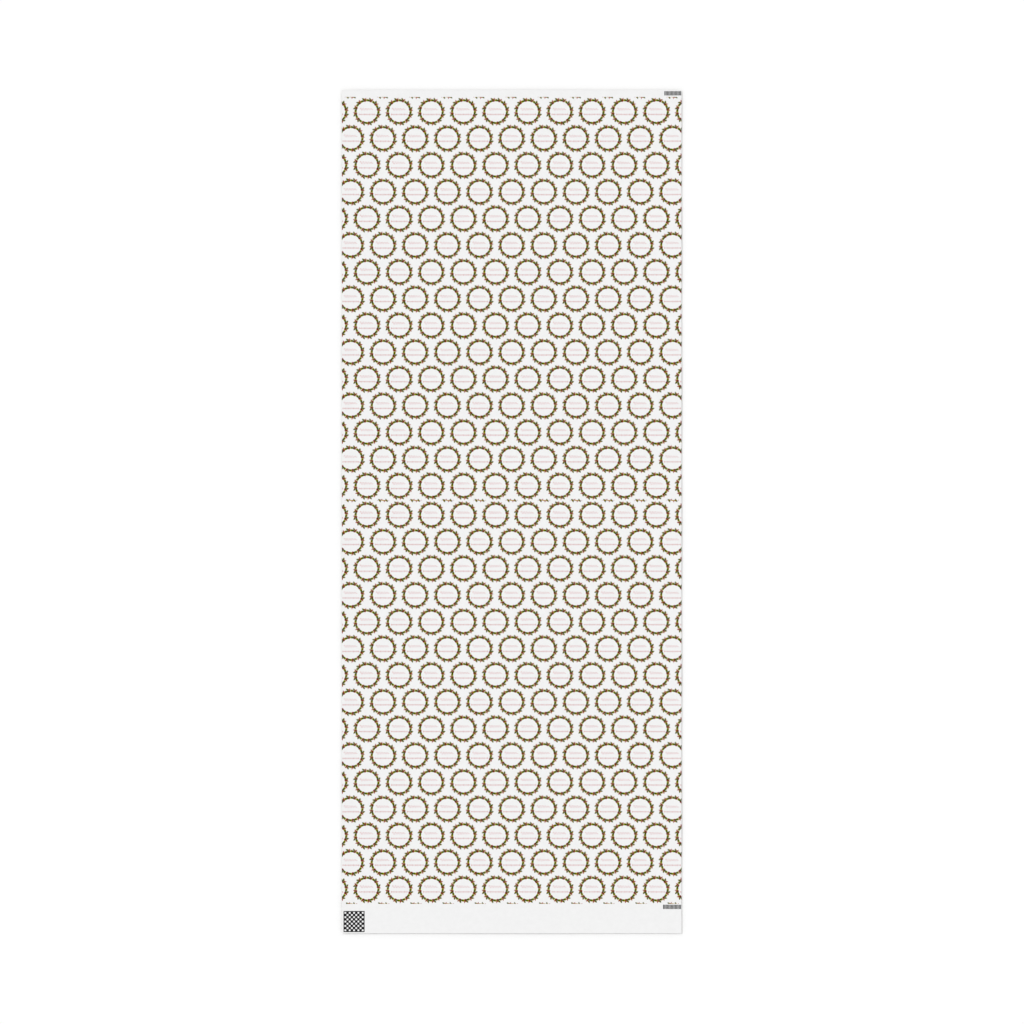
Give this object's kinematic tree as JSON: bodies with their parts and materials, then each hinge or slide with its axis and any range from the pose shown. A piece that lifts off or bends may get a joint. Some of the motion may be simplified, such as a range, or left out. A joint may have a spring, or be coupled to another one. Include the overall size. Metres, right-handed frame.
{
  "type": "gift wrap sheet",
  "caption": "Flat cut sheet of gift wrap: thin white satin-coated paper printed with staggered rows of wreaths, with bare head and tail strips and plain register marks.",
  "frame": {"origin": "middle of the underside of the flat sheet", "axes": "+X across the web towards the combs of register bars, +Y along the sheet towards its head, +Z out of the printed face"},
  "size_m": [0.7366, 1.8288, 0.0001],
  "materials": {
    "base_paper": "matte",
    "satin_coating": "satin",
    "wreath_ink": "satin",
    "mark_ink": "satin"
  },
  "bodies": {
    "root": {"base_paper": "base_paper", "satin_coating": "satin_coating", "wreath_print_1": "wreath_ink", "wreath_print_2": "wreath_ink", "head_comb": "mark_ink", "tail_comb": "mark_ink", "test_patch": "mark_ink"}
  },
  "joints": []
}
